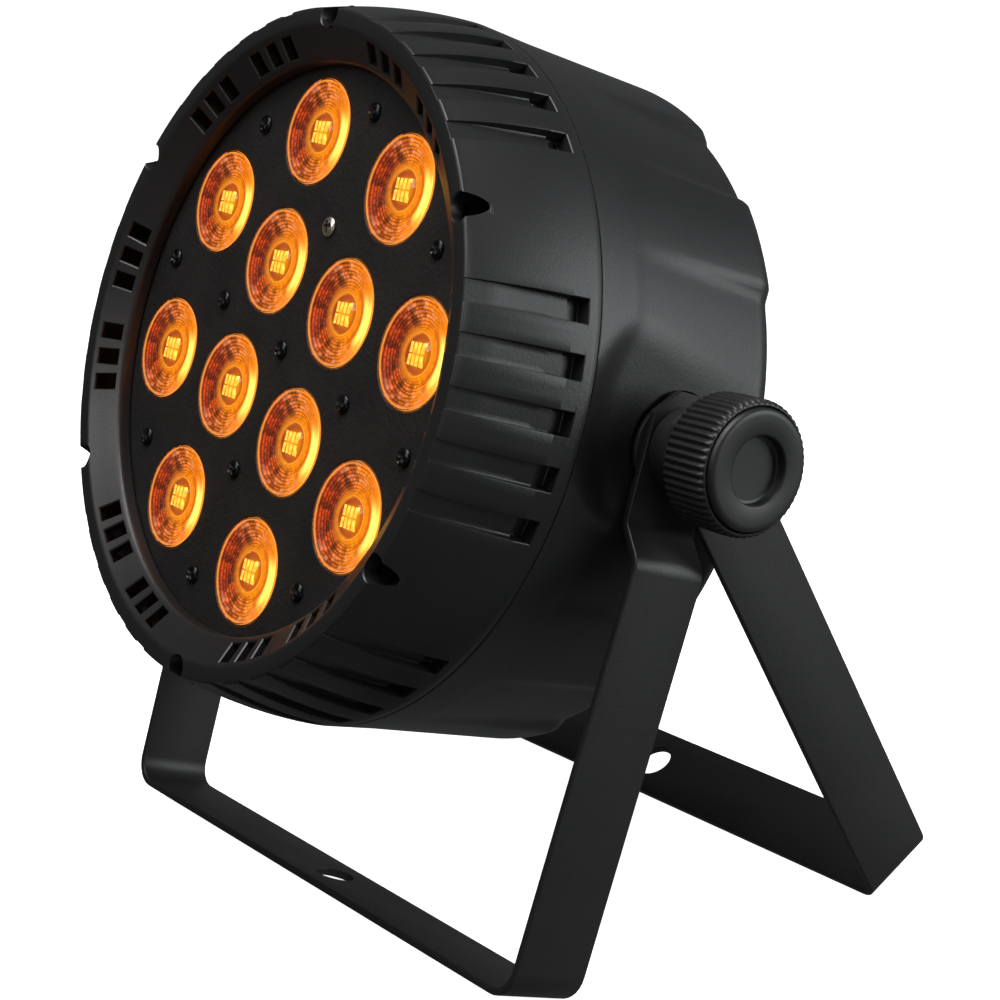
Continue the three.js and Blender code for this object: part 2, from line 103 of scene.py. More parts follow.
# ---- materials ----
class Nodes:
    """Builds a procedural Principled material from object coordinates."""

    def __init__(self, name):
        self.material = bpy.data.materials.new(name)
        self.material.use_nodes = True
        self.tree = self.material.node_tree
        self.shader = self.tree.nodes["Principled BSDF"]
        self.object = self.add("ShaderNodeTexCoord").outputs["Object"]

    def add(self, kind, inputs=None, **settings):
        node = self.tree.nodes.new(kind)
        for key, value in settings.items():
            setattr(node, key, value)
        for key, value in (inputs or {}).items():
            self.feed(node.inputs[key], value)
        return node

    def feed(self, socket, value):
        if isinstance(value, bpy.types.NodeSocket):
            self.tree.links.new(value, socket)
        else:
            socket.default_value = value

    def math(self, operation, *values, clamp=False):
        node = self.add("ShaderNodeMath", dict(enumerate(values)), operation=operation, use_clamp=clamp)
        return node.outputs[0]

    def noise(self, scale, detail=3.0, rough=0.55, vector=None):
        return self.add("ShaderNodeTexNoise", {"Vector": vector or self.object, "Scale": scale,
                                               "Detail": detail, "Roughness": rough}).outputs["Fac"]

    def remap(self, value, low, high, to_low, to_high, smooth=False):
        kind = "SMOOTHSTEP" if smooth else "LINEAR"
        return self.add("ShaderNodeMapRange", {"Value": value, "From Min": low, "From Max": high,
                                               "To Min": to_low, "To Max": to_high},
                        interpolation_type=kind).outputs["Result"]

    def mix(self, factor, a, b, blend="MIX"):
        node = self.add("ShaderNodeMix", data_type="RGBA", blend_type=blend)
        for index, value in ((0, factor), (6, a), (7, b)):
            self.feed(node.inputs[index], value)
        return node.outputs[2]

    def set(self, **values):
        for key, value in values.items():
            self.feed(self.shader.inputs[key.replace("_", " ")], value)

    def bump(self, height, distance, strength=1.0):
        node = self.add("ShaderNodeBump", {"Height": height, "Distance": distance, "Strength": strength})
        self.tree.links.new(node.outputs[0], self.shader.inputs["Normal"])


def rgb(r, g, b):
    return (r, g, b, 1.0)


def surface(name, colour, spread, rough, grain, depth, metallic=0.0, specular=0.5, coat=0.0, mottle=18.0):
    """A finish with soft colour drift, uneven gloss and a fine surface grain."""
    n = Nodes(name)
    drift = n.noise(mottle, 4.0)
    fine = n.noise(grain, 2.0, 0.6)
    dark = rgb(*[c * (1 - spread) for c in colour])
    light = rgb(*[c * (1 + spread) for c in colour])
    n.set(Base_Color=n.mix(n.remap(drift, 0.3, 0.7, 0.0, 1.0), dark, light), Metallic=metallic,
          Roughness=n.remap(n.math("ADD", n.math("MULTIPLY", drift, 0.6), n.math("MULTIPLY", fine, 0.4)),
                            0.3, 0.7, rough - 0.05, rough + 0.05),
          Specular_IOR_Level=specular, Coat_Weight=coat)
    n.bump(fine, depth * MM)
    return n


def brushed(name, colour, rough, stretch=(40, 900, 900), metallic=1.0):
    """Metal with fine drawn lines."""
    n = Nodes(name)
    lines = n.add("ShaderNodeMapping", {"Vector": n.object, "Scale": stretch}).outputs[0]
    streak = n.noise(1.0, 4.0, 0.6, lines)
    n.set(Base_Color=n.mix(streak, rgb(*[c * 0.8 for c in colour]), rgb(*colour)), Metallic=metallic,
          Roughness=n.remap(streak, 0.3, 0.7, rough - 0.06, rough + 0.08))
    n.bump(streak, 0.02 * MM)
    return n.material


BODY = surface("moulded_black_plastic", (0.0075, 0.0077, 0.0083), 0.15, 0.42, 1100.0, 0.05).material
KNOB = surface("knob_plastic", (0.0085, 0.0088, 0.0095), 0.12, 0.44, 1700.0, 0.018).material
PLATE = surface("plate_paint", (0.0055, 0.0052, 0.005), 0.3, 0.58, 750.0, 0.3, mottle=60.0,
                specular=0.4).material
YOKE = surface("yoke_paint", (0.0075, 0.0075, 0.008), 0.15, 0.46, 1300.0, 0.045, mottle=30.0).material
PANEL = surface("panel_paint", (0.018, 0.018, 0.019), 0.15, 0.55, 1200.0, 0.05, mottle=40.0).material
RUBBER = surface("washer_rubber", (0.012, 0.012, 0.012), 0.1, 0.75, 900.0, 0.05).material
BUTTON = surface("button_plastic", (0.05, 0.05, 0.052), 0.1, 0.5, 1500.0, 0.02).material
BLACK_STEEL = brushed("black_oxide_steel", (0.03, 0.03, 0.032), 0.26)
NICKEL = brushed("nickel_steel", (0.72, 0.67, 0.56), 0.34)
ZINC = brushed("zinc_steel", (0.6, 0.61, 0.63), 0.3)
SOCKET_METAL = brushed("socket_metal", (0.42, 0.43, 0.44), 0.32)
SOCKET_BLUE = surface("socket_blue", (0.03, 0.11, 0.36), 0.1, 0.4, 1400.0, 0.02).material
SOCKET_GREY = surface("socket_grey", (0.4, 0.41, 0.42), 0.08, 0.42, 1400.0, 0.02).material
# black for the fan parts, and painted shade on the walls of the plate screws' cross recesses
BLACK_AND_RECESS_SHADE = surface("black_and_recess_shade", (0.015, 0.015, 0.016), 0.1, 0.5, 1400.0, 0.02).material
FIN = brushed("fin_aluminium", (0.6, 0.61, 0.62), 0.35)


def board_material(name, colour):
    """Solder mask with the pattern of tracks and pads under it."""
    n = Nodes(name)
    cells = n.add("ShaderNodeTexVoronoi", {"Vector": n.object, "Scale": 140.0}, distance="CHEBYCHEV")
    track = n.remap(cells.outputs["Distance"], 0.18, 0.24, 0.0, 1.0)
    n.set(Base_Color=n.mix(track, rgb(*[c * 1.5 for c in colour]), rgb(*colour)),
          Roughness=n.remap(track, 0, 1, 0.3, 0.45))
    n.bump(track, 0.03 * MM)
    return n.material


def window_material():
    """Dark glossy plastic over the display."""
    n = Nodes("display_glass")
    film = n.noise(30.0, 2.0)
    n.set(Base_Color=n.mix(film, rgb(0.006, 0.008, 0.01), rgb(0.012, 0.016, 0.02)),
          Roughness=n.remap(film, 0.3, 0.7, 0.05, 0.12), Coat_Weight=0.6)
    return n.material


# ---- lens materials: the lens object's origin is on its own axis ----
def lens_polar(n):
    """Place across the lens, distance from its axis in millimetres, and turn around it in radians."""
    xyz = n.add("ShaderNodeSeparateXYZ", {0: n.object})
    x = n.math("MULTIPLY", xyz.outputs["X"], 1000.0)
    z = n.math("MULTIPLY", xyz.outputs["Z"], 1000.0)
    r = n.math("SQRT", n.math("ADD", n.math("MULTIPLY", x, x), n.math("MULTIPLY", z, z)))
    return x, z, r, n.math("ARCTAN2", z, x)


def cup_material():
    """Amber LED light on the faceted back of the collimator, with painted light and shade: brighter towards
    one side, a painted flare, painted glints, a painted bright rim line, a darker painted arc and painted
    shade across the facets.
    """
    n = Nodes("lens_cup_glow")
    x, z, r, turn = lens_polar(n)
    ring = n.math("DIVIDE", r, RING_PITCH)
    shift = n.math("MULTIPLY", n.math("MODULO", n.math("FLOOR", ring), 2.0), 0.5)
    rib = n.math("ADD", n.math("MULTIPLY", turn, LENS_RIBS / (2 * math.pi)), shift)
    cell = n.add("ShaderNodeCombineXYZ", {0: n.math("FLOOR", ring), 1: n.math("FLOOR", rib)}).outputs[0]
    spark = n.add("ShaderNodeTexWhiteNoise", {"Vector": cell}, noise_dimensions="3D").outputs["Value"]
    # painted shade across each facet, darker towards its edges
    across_ring = n.math("SINE", n.math("MULTIPLY", n.math("FRACT", ring), math.pi))
    across_rib = n.math("SINE", n.math("MULTIPLY", n.math("FRACT", rib), math.pi))
    painted_facet_shade = n.math("MULTIPLY", n.remap(across_ring, 0.05, 0.9, 0.2, 1.3),
                    n.remap(across_rib, 0.0, 0.75, 0.6, 1.15))
    spoke = n.add("ShaderNodeCombineXYZ", {0: n.math("MULTIPLY", n.math("COSINE", turn), 2.6),
                                           1: n.math("MULTIPLY", n.math("SINE", turn), 2.6),
                                           2: n.math("MULTIPLY", r, 0.09)}).outputs[0]
    streak = n.remap(n.noise(1.6, 3.0, 0.6, spoke), 0.34, 0.66, 0.35, 1.5)
    soft = n.noise(140.0, 2.0)
    side = n.math("ADD", n.math("DIVIDE", x, LENS_R), n.remap(soft, 0.3, 0.7, -0.1, 0.1))
    sharp = n.math("MULTIPLY", n.math("MULTIPLY", painted_facet_shade, streak), n.remap(spark, 0.0, 1.0, 0.55, 1.4))
    blend = n.math("MULTIPLY", n.remap(side, -0.1, 0.6, 1.0, 0.3, smooth=True),
                   n.remap(r, 5.0, 9.0, 0.45, 1.0))
    facet = n.math("ADD", n.math("MULTIPLY", sharp, blend), n.math("SUBTRACT", 1.0, blend))
    # painted light: the amber grows brighter towards one side of the lens
    painted_side_light = n.remap(side, -0.7, 0.55, 0.0, 1.0, smooth=True)
    # painted highlight: a pale flare crescent on the bright side of the lens
    flare_ring = n.remap(n.math("ABSOLUTE", n.math("SUBTRACT", r, 12.9)), 0.8, 3.2, 1.0, 0.0, smooth=True)
    flare_side = n.remap(side, 0.3, 0.7, 0.0, 1.0, smooth=True)
    flare_height = n.remap(n.math("ABSOLUTE", n.math("ADD", z, 1.5)), 3.0, 10.5, 1.0, 0.0, smooth=True)
    flare = n.math("MULTIPLY", flare_ring, n.math("MULTIPLY", flare_side, flare_height))
    # painted glints on random facets near the top and bottom of the lens
    painted_glints = n.math("MULTIPLY", n.remap(n.math("ABSOLUTE", z), 7.5, 14.5, 0.0, 1.0, smooth=True),
                   n.remap(spark, 0.45, 1.0, 0.0, 1.0))
    # painted highlight: a bright orange line round the rim
    lip = n.remap(r, 15.9, 16.4, 0.0, 1.0, smooth=True)
    # painted shade: a darker arc on the bright side of the lens
    arc_ring = n.remap(n.math("ABSOLUTE", n.math("SUBTRACT", r, 9.4)), 0.5, 1.2, 1.0, 0.0, smooth=True)
    arc = n.math("MULTIPLY", arc_ring, n.remap(side, 0.15, 0.45, 0.0, 1.0, smooth=True))
    hoop = n.remap(n.math("ABSOLUTE", n.math("SUBTRACT", r, 6.0)), 0.25, 0.7, 1.0, 0.0, smooth=True)
    core = n.remap(r, 5.9, 5.2, 0.0, 1.0, smooth=True)
    amber = n.mix(painted_side_light, rgb(0.36, 0.033, 0.001), rgb(1.1, 0.27, 0.004))
    shade = n.add("ShaderNodeCombineColor", {0: facet, 1: facet, 2: facet}).outputs[0]
    lit = n.mix(1.0, amber, shade, "MULTIPLY")
    inner = n.math("MULTIPLY", n.remap(r, 11.0, 5.5, 0.0, 1.0, smooth=True),
                   n.remap(side, -0.6, 0.2, 0.4, 0.8))
    lit = n.mix(inner, lit, rgb(1.05, 0.32, 0.006))
    lit = n.mix(n.math("MULTIPLY", painted_glints, 0.6), lit, rgb(0.95, 0.36, 0.17))
    lit = n.mix(n.math("MULTIPLY", flare, 0.92), lit, rgb(2.4, 1.7, 0.3))
    lit = n.mix(n.math("MULTIPLY", arc, 0.75), lit, rgb(0.72, 0.13, 0.006))
    hoop_share = n.math("MULTIPLY", hoop, n.remap(side, -0.4, 0.35, 0.15, 0.75))
    lit = n.mix(hoop_share, lit, n.mix(painted_side_light, rgb(0.8, 0.25, 0.02), rgb(1.2, 0.6, 0.06)))
    middle = n.remap(r, 4.6, 1.5, 0.0, 1.0, smooth=True)
    well = n.mix(painted_side_light, rgb(0.25, 0.015, 0.002), rgb(0.7, 0.15, 0.004))
    lit = n.mix(core, lit, n.mix(middle, well, rgb(1.0, 0.36, 0.01)))
    lit = n.mix(n.math("MULTIPLY", lip, 0.85), lit, n.mix(painted_side_light, rgb(1.1, 0.42, 0.07), rgb(1.2, 0.45, 0.08)))
    n.set(Base_Color=n.mix(spark, rgb(0.004, 0.001, 0.0004), rgb(0.006, 0.002, 0.0006)),
          Roughness=n.remap(spark, 0, 1, 0.15, 0.35), Specular_IOR_Level=0.1, Emission_Color=lit,
          Emission_Strength=1.0)
    return n.material


def die_material():
    """The lit emitter squares."""
    n = Nodes("emitter_glow")
    glow = n.remap(n.noise(700.0, 2.0), 0.35, 0.65, 0.0, 1.0)
    n.set(Base_Color=rgb(0.05, 0.03, 0.01), Roughness=n.remap(glow, 0, 1, 0.3, 0.5),
          Emission_Color=n.mix(glow, rgb(1.0, 0.4, 0.015), rgb(1.0, 0.78, 0.08)), Emission_Strength=1.35)
    return n.material


def cover_material():
    """Clear moulded lens front, frosted in the middle and finely rippled outside it."""
    n = Nodes("lens_clear")
    r = lens_polar(n)[2]
    ripple = n.math("SINE", n.math("MULTIPLY", r, 5.2))
    frost = n.remap(r, 4.5, 7.0, 0.13, 0.01, smooth=True)
    n.set(Base_Color=n.mix(n.remap(r, 12.0, LENS_R, 0.0, 1.0), rgb(1.0, 0.92, 0.84), rgb(1.0, 0.84, 0.7)),
          Roughness=n.math("ADD", frost, n.remap(ripple, -1, 1, 0.0, 0.012)),
          Transmission_Weight=1.0, IOR=1.4, Specular_IOR_Level=0.35)
    return n.material


CUP, DIE, COVER = cup_material(), die_material(), cover_material()


# ---- mesh helpers ----
def link(name, mesh, place):
    ob = bpy.data.objects.new(name, mesh)
    scene.collection.objects.link(ob)
    ob.matrix_world = place
    return ob


def build(name, verts, faces, place=HEAD):
    """An object from millimetre points, with its faces turned outwards."""
    mesh = bpy.data.meshes.new(name)
    mesh.from_pydata([tuple(c * MM for c in v) for v in verts], [], faces)
    bm = bmesh.new()
    bm.from_mesh(mesh)
    bmesh.ops.recalc_face_normals(bm, faces=bm.faces)
    bm.to_mesh(mesh)
    bm.free()
    return link(name, mesh, place)


def grid(points, close_rows=True, close_columns=True):
    """Quads over points[row][column]; closed both ways it is a ring."""
    rows, columns = len(points), len(points[0])
    verts = [p for row in points for p in row]
    faces = []
    for i in range(rows if close_rows else rows - 1):
        for j in range(columns if close_columns else columns - 1):
            i2, j2 = (i + 1) % rows, (j + 1) % columns
            faces.append((i * columns + j, i * columns + j2, i2 * columns + j2, i2 * columns + j))
    return verts, faces


def tube(points, closed):
    """Quads along rows of points; an open profile gets a flat face at each end."""
    verts, faces = grid(points, close_rows=closed)
    if not closed:
        count = len(points[0])
        faces.append(tuple(range(count)))
        faces.append(tuple(range(len(verts) - count, len(verts))))
    return verts, faces


def spun(profile, segments, closed=True, x=0.0, up=0.0):
    """A profile of (r, a) turned about the optical axis, or about a parallel one at (x, up)."""
    turns = [2 * math.pi * j / segments for j in range(segments)]
    points = [[(x + r * math.cos(t), -a, up + r * math.sin(t)) for t in turns] for r, a in profile]
    return tube(points, closed)


def across(profile, segments, side=1, closed=False):
    """A profile of (r, x) turned about the tilt axis."""
    turns = [2 * math.pi * j / segments for j in range(segments)]
    points = [[(side * x, r * math.cos(t), r * math.sin(t)) for t in turns] for r, x in profile]
    return tube(points, closed)


def merge(*parts):
    """Several (verts, faces) shapes as one."""
    verts, faces = [], []
    for v, f in parts:
        start = len(verts)
        verts.extend(v)
        faces.extend(tuple(start + i for i in face) for face in f)
    return verts, faces


def frusta(sections):
    """A stack of four-cornered sections joined into one closed block."""
    faces = [(3, 2, 1, 0), tuple(4 * (len(sections) - 1) + i for i in range(4))]
    for k in range(len(sections) - 1):
        faces += [(4 * k + i, 4 * k + (i + 1) % 4, 4 * k + 4 + (i + 1) % 4, 4 * k + 4 + i) for i in range(4)]
    return [p for section in sections for p in section], faces


def rounded_block(width, height, low, high, x=0.0, up=0.0, edge=0.4):
    """A block between a = low and a = high with chamfered front and back edges."""
    sections = []
    for a, inset in ((low, edge), (low + edge, 0), (high - edge, 0), (high, edge)):
        w, h = width / 2 - inset, height / 2 - inset
        sections.append([(x + sx * w, -a, up + sz * h) for sx, sz in ((-1, -1), (1, -1), (1, 1), (-1, 1))])
    return frusta(sections)


def combine(ob, tool, operation):
    """Applies one boolean and removes the tool."""
    modifier = ob.modifiers.new("combine", "BOOLEAN")
    modifier.operation, modifier.object, modifier.solver = operation, tool, "EXACT"
    bpy.context.view_layer.update()
    result = bpy.data.meshes.new_from_object(ob.evaluated_get(bpy.context.evaluated_depsgraph_get()))
    ob.modifiers.clear()
    ob.data = result
    bpy.data.objects.remove(tool)
    return ob


def bevelled(ob, width, angle=40.0, segments=2):
    """Rounds the edges sharper than the angle by a width in millimetres."""
    modifier = ob.modifiers.new("bevel", "BEVEL")
    modifier.width, modifier.segments = width * MM, segments
    modifier.limit_method, modifier.angle_limit = "ANGLE", math.radians(angle)
    modifier.harden_normals = False
    bpy.context.view_layer.update()
    result = bpy.data.meshes.new_from_object(ob.evaluated_get(bpy.context.evaluated_depsgraph_get()))
    ob.modifiers.clear()
    ob.data = result
    return ob


def finish_piece(ob, material, body, nodes, angle=34.0):
    """Shades a piece, gives it its finish and hands it to its body."""
    mesh = ob.data
    if material:
        mesh.materials.clear()
        mesh.materials.append(material)
        mesh.polygons.foreach_set("material_index", [0] * len(mesh.polygons))
    mesh.shade_smooth()
    mesh.set_sharp_from_angle(angle=math.radians(angle))
    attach(ob, body)
    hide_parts(*nodes)
    return ob


# ---- camera ----
camera_data = bpy.data.cameras.new("camera")
camera_data.lens = 83.38
camera_data.sensor_width = 36.0
camera_data.clip_end = 40.0
camera = bpy.data.objects.new("camera", camera_data)
scene.collection.objects.link(camera)
camera.location = PIVOT + Vector((0.6172, -0.42653, 0.17717))
camera.rotation_euler = [math.radians(v) for v in (73.938, 3.034, 53.62)]
scene.camera = camera

# ---- front bezel ----
# Radius of the louvre floor at each a, and the share of its depth at each angle from the louvre's middle.
LOUVRE_FLOOR = [(44.6, 109.8), (49.7, 109.8), (49.9, 111.2), (74.0, 107.6), (84.0, 105.2)]
LOUVRE_DEPTH = {0.0: 1.0, 0.9: 1.0, 1.58: 1.0, 1.79: 0.9, 1.83: 0.05, 1.97: 0.0}


def wall_radius(a):
    """The bezel wall, which curves inwards from the seam to the rim."""
    ahead = a - SEAM_A
    return DRUM_R - 0.062 * ahead - 0.00345 * ahead * ahead


def bezel_columns():
    """Angles round the bezel, with how deep the louvres are at each."""
    columns = []
    edge = max(LOUVRE_DEPTH)
    for k in range(SECTORS):
        for i in range(-2, 3):
            centre = SECTOR * k + LOUVRE_STEP * i
            for offset, depth in LOUVRE_DEPTH.items():
                columns.append((centre + offset, depth))
                if offset:
                    columns.append((centre - offset, depth))
            gap = LOUVRE_STEP if i < 2 else SECTOR - 4 * LOUVRE_STEP
            count = 3 if i < 2 else 14
            start, width = centre + edge, gap - 2 * edge
            columns += [(start + width * m / count, 0.0) for m in range(1, count)]
    return sorted(columns)


def vent_slot(turn):
    """A rectangular cutter for one slot in the sloping cone, flared at its mouth and turned to its place."""
    rise, run, half_long, half_wide = 5.8, 8.7, 3.7, 2.6
    slope = math.atan2(rise, run)
    sections = []
    for depth, grow in ((-5.0, 0.0), (-0.35, 0.0), (0.15, 0.5), (3.0, 3.35)):
        section = []
        for su, sv in ((-1, -1), (1, -1), (1, 1), (-1, 1)):
            u, v = su * (half_long + grow), sv * (half_wide + grow)
            r = 95.9 + u * math.cos(slope) - depth * math.sin(slope)
            a = 79.55 + u * math.sin(slope) + depth * math.cos(slope)
            section.append(tuple(turn @ Vector((r, -a, v))))
        sections.append(section)
    return frusta(sections)


def front_bezel():
    """The bezel ring: louvred wall, rim, sloping cone with slots, screw bosses and notches."""
    louvre_start = 44.4
    wall = [40.38, 42.5, 44.2, 44.45, 44.62, 44.7, 45.0, 46.5, 48.5, 49.6, 49.8, 50.0, 50.3]
    wall += [52 + 2.2 * i for i in range(14)] + [82.0]
    outer = [(114.93, BEZEL_BACK)] + [(wall_radius(a), a) for a in wall]
    rows = outer + [(106.25, 82.35), (105.95, 82.65), (105.4, 82.85), (104.7, 82.9), (102.8, 82.9),
                    (101.2, 82.9), (100.5, 82.72), (99.9, 82.3), (99.0, 81.6), (95.9, 79.55),
                    (92.2, 77.1), (91.3, 76.45), (90.95, 75.9), (90.9, 75.0), (90.9, 72.2), (91.2, 71.8),
                    (93.4, 71.8), (93.6, 72.2), (93.6, 74.6), (99.2, 78.2), (101.4, 78.2), (105.6, 62.0),
                    (108.2, 42.5), (111.5, 42.5), (111.5, BEZEL_BACK)]
    points = []
    for index, (r, a) in enumerate(rows):
        row = []
        for degrees, share in bezel_columns():
            radius = r
            if share and index < len(outer) + 4 and a > louvre_start and r > 104:
                reach = share * smoothstep(louvre_start, louvre_start + 0.35, a)
                radius = r - reach * max(0.0, r - lerp_table(LOUVRE_FLOOR, a))
            x, up = polar(radius, degrees)
            row.append((x, -a, up))
        points.append(row)
    ob = build("front_bezel_shell", *grid(points))

    bosses = merge(*[spun([(5.6, 45.0), (5.6, 75.5)], 24, False, x, up) for x, up in NOTCH_SPOTS])
    combine(ob, build("bosses", *bosses), "UNION")
    slots = [vent_slot(Matrix.Rotation(-math.radians(SECTOR * k + 10.5 * side + SLOT_STEP * i), 4, "Y"))
             for k in range(SECTORS) for side in (-1, 1) for i in (-1, 0, 1)]
    combine(ob, build("slots", *merge(*slots)), "DIFFERENCE")
    pocket = [(4.3, 70.0), (4.3, 82.5), (4.75, 83.0), (4.75, 86.0)]
    pockets = merge(*[spun(pocket, 40, False, *polar(104.2, t)) for t in NOTCHES])
    combine(ob, build("pockets", *pockets), "DIFFERENCE")
    return ob


finish_piece(front_bezel(), BODY, "head", ["front_bezel"])


# ---- rear housing ----
def wall_back(a):
    """The drum wall, which narrows slightly from the seam to the back."""
    bend = 22
    return 114.2 + (0.8 * (a - bend) / 18 if a > bend else 1.2 * (a - bend) / 52)


def sink(degrees):
    """How far a sector of the wall is sunk, from 0 to 1."""
    t = abs((degrees + 180) % 360 - 180)
    t = 180 - t if t > 90 else t
    low = 1.0 - smoothstep(26.5, 29.5, t)
    high = smoothstep(44.0, 46.5, t) * (1.0 - smoothstep(60.0, 63.0, t))
    return max(low, high)


def side_limit(a, up):
    """The flat round the tilt axis, rising softly into the wall and open towards the top."""
    return SIDE_FLAT_X + 6.5 * smoothstep(27.0, 48.0, math.hypot(a, up * (0.5 if up > 0 else 1.0)))


def soft_min(p, q, k=1.6):
    """The smaller of two values, with the corner between them rounded over k."""
    h = min(1.0, max(0.0, 0.5 + 0.5 * (q - p) / k))
    return q + (p - q) * h - k * h * (1 - h)


def rear_housing():
    """The drum with its sunk sectors, rounded back edge, pivot pads, recesses and bores."""
    sink_depth, sink_start, sink_run = 2.5, 26, 54
    outer = [(114.95, SEAM_A), (DRUM_R, 39.92)] + [(wall_back(a), a) for a in range(39, -29, -1)]
    outer += [(113.0, -29.0), (112.8, -30.4), (112.0, -32.2), (110.4, -34.2), (108.3, -35.6), (106.0, -36.2),
              (104.0, -36.3)]
    rows = outer + [(96.0, -36.3), (87.9, -36.3), (87.3, -35.9), (87.2, -35.2), (87.2, -32.0),
                    (81.0, -32.0), (81.0, -29.5), (100.0, -29.5), (105.6, -24.0), (107.2, 30.0),
                    (110.6, 38.0), (110.6, SEAM_A)]
    steps = sorted({t + side for side in (0, 180) for t in range(-90, 90)} |
                   {t / 2 + side for side in (0, 180) for t in range(-48, 49)})
    points = []
    for index, (r, a) in enumerate(rows):
        row = []
        for step in steps:
            skin = index < len(outer)
            depth = 0.0
            if skin and r > 103.8:
                depth = sink_depth * min(1.0, max(0.0, (sink_start - a) / sink_run)) * sink(step)
            x, up = polar(r - depth, step)
            if skin and index > 1 and a > -36:
                x = math.copysign(soft_min(abs(x), side_limit(a, up)), x)
            row.append((x, -a, up))
        points.append(row)
    ob = build("rear_housing_shell", *grid(points))
    core = [(0.5, -28.0), (105.0, -28.0), (108.0, -22.0), (108.2, 28.0), (0.5, 28.0)]
    for side in (1, -1):
        pad = build("pad", *across([(PAD_R, 103.0), (PAD_R, 111.5)], 64, side))
        combine(pad, build("core", *spun(core, 128, False)), "INTERSECT")
        combine(ob, pad, "UNION")
        recess = [(16.4, 107.5), (17.0, 108.1), (17.0, 108.9), (17.6, 109.6), (17.6, 125.0)]
        combine(ob, build("recess", *across(recess, 96, side)), "DIFFERENCE")
        combine(ob, build("bore", *across([(BORE_R, 95.0), (BORE_R, 115.0)], 32, side)), "DIFFERENCE")
    return ob


finish_piece(rear_housing(), BODY, "head", ["rear_housing"], 40.0)


# ---- lens plate ----
def face_plate():
    """The flat plate with a hole for each lens and each screw."""
    ob = build("lens_plate", *spun([(96.3, 69.7), (PLATE_R, 69.8), (PLATE_R, 71.3), (96.2, PLATE_A),
                                    (0.4, PLATE_A), (0.4, PLATE_BACK), (96.2, PLATE_BACK)], 160))
    cap = build("cap", *spun([(1.0, PLATE_BACK), (1.0, PLATE_A)], 12, False))
    combine(ob, cap, "UNION")
    profile = [(17.4, 68.0), (17.4, 71.2), (17.8, 71.6), (17.8, 73.0)]
    holes = [spun(profile, 72, False, x, up) for x, up in LENS_SPOTS]
    holes += [spun([(2.2, 68.0), (2.2, 73.0)], 16, False, x, up) for x, up in SCREW_SPOTS]
    return combine(ob, build("holes", *merge(*holes)), "DIFFERENCE")


finish_piece(face_plate(), PLATE, "head", ["face_plate"])


# ---- lenses ----
def lens_mesh():
    """Clear front, faceted cup and emitter squares as one shape, with the number of faces of each."""
    cover = [(16.6, 69.4), (16.95, 69.6), (LENS_R, 71.5), (16.8, 71.9), (16.3, 72.1), (15.6, 71.95),
             (14.0, 71.5), (12.0, 71.05), (10.0, 70.75), (8.2, 70.7), (7.2, 71.0), (6.6, 71.5),
             (6.0, 71.75), (4.0, 72.0), (2.0, 72.1), (0.3, 72.1)]
    cup = [(16.4, 71.4), (16.3, 70.9), (15.3, 70.2), (14.3, 69.75), (13.26, 69.35), (12.24, 69.0),
           (11.2, 68.7), (10.2, 68.4), (9.2, 68.1), (8.2, 67.9), (7.3, 67.8), (7.0, 68.9), (6.5, 69.2),
           (6.0, 68.9), (5.9, 68.3), (0.3, 68.3)]
    parts = []
    for profile, segments in ((cover, 72), (cup, LENS_RIBS)):
        verts, faces = spun(profile, segments, False)
        parts.append((verts, faces[:-2] + [faces[-1]]))
    pitch = 1.8
    dies = [rounded_block(1.15, 3.1, 68.4, 69.2, i * pitch - 0.3, j * pitch, 0.3)
            for i in (-1.5, -0.5, 0.5, 1.5) for j in (-1, 1)]
    parts.append(merge(*dies))
    counts = [len(faces) for verts, faces in parts]
    return merge(*parts), counts


lens_shape, (cover_count, cup_count, die_count) = lens_mesh()
for number, (x, up) in enumerate(LENS_SPOTS, 1):
    mesh = bpy.data.meshes.new(f"lens_{number:02d}")
    mesh.from_pydata([tuple(c * MM for c in v) for v in lens_shape[0]], [], lens_shape[1])
    for material in (COVER, CUP, DIE):
        mesh.materials.append(material)
    kinds = [0] * cover_count + [1] * cup_count + [2] * die_count
    mesh.polygons.foreach_set("material_index", kinds)
    lens = link(f"lit_lens_{number:02d}", mesh, HEAD @ Matrix.Translation((x * MM, 0, up * MM)))
    finish_piece(lens, None, "head", [f"lens_{number:02d}"])
    mesh.polygons.foreach_set("use_smooth", [kind == 0 for kind in kinds])


# ---- screws ----
def cross_screw(name, x, up, seat, height, turn, shank):
    """Domed head with a cross recess, on a plain shank."""
    dome = [(shank, seat - 3.0), (shank, seat), (SCREW_R * 0.97, seat), (SCREW_R, seat + 0.25)]
    for i in range(1, 6):
        t = math.radians(15 * i)
        dome.append((SCREW_R * math.cos(t), seat + 0.25 + (height - 0.25) * math.sin(t)))
    place = HEAD @ Matrix.Translation((x * MM, 0, up * MM)) @ Matrix.Rotation(math.radians(turn), 4, "Y")
    ob = build(name, *spun(dome, 40, False), place)
    top = seat + height
    arms = []
    for wide, tall in ((1.0, 0.3), (0.3, 1.0)):
        sections = []
        for a, grow in ((top - 1.0, 0.4), (top - 0.1, 0.7), (top + 0.6, 0.8)):
            w, h = SCREW_R * grow * wide, SCREW_R * grow * tall
            sections.append([(sx * w, -a, sz * h) for sx, sz in ((-1, -1), (1, -1), (1, 1), (-1, 1))])
        arms.append(frusta(sections))
    tool = build("tool", *arms[0], place)
    combine(tool, build("tool_b", *arms[1], place), "UNION")
    return combine(ob, tool, "DIFFERENCE")


def paint_recess_shade(screw, seat, height):
    """Paints shade on the walls of the cross recess: they get the dark material in place of the shade that
    falls there.
    """
    screw.data.materials.append(BLACK_AND_RECESS_SHADE)
    for face in screw.data.polygons:
        x, y, z = (c / MM for c in face.center)
        reach = math.hypot(x, z) / SCREW_R
        if reach < 0.75:
            skin = seat + 0.13 + (height - 0.25) * math.sqrt(1 - reach * reach)
            if seat + 0.1 < -y < skin:
                face.material_index = 1


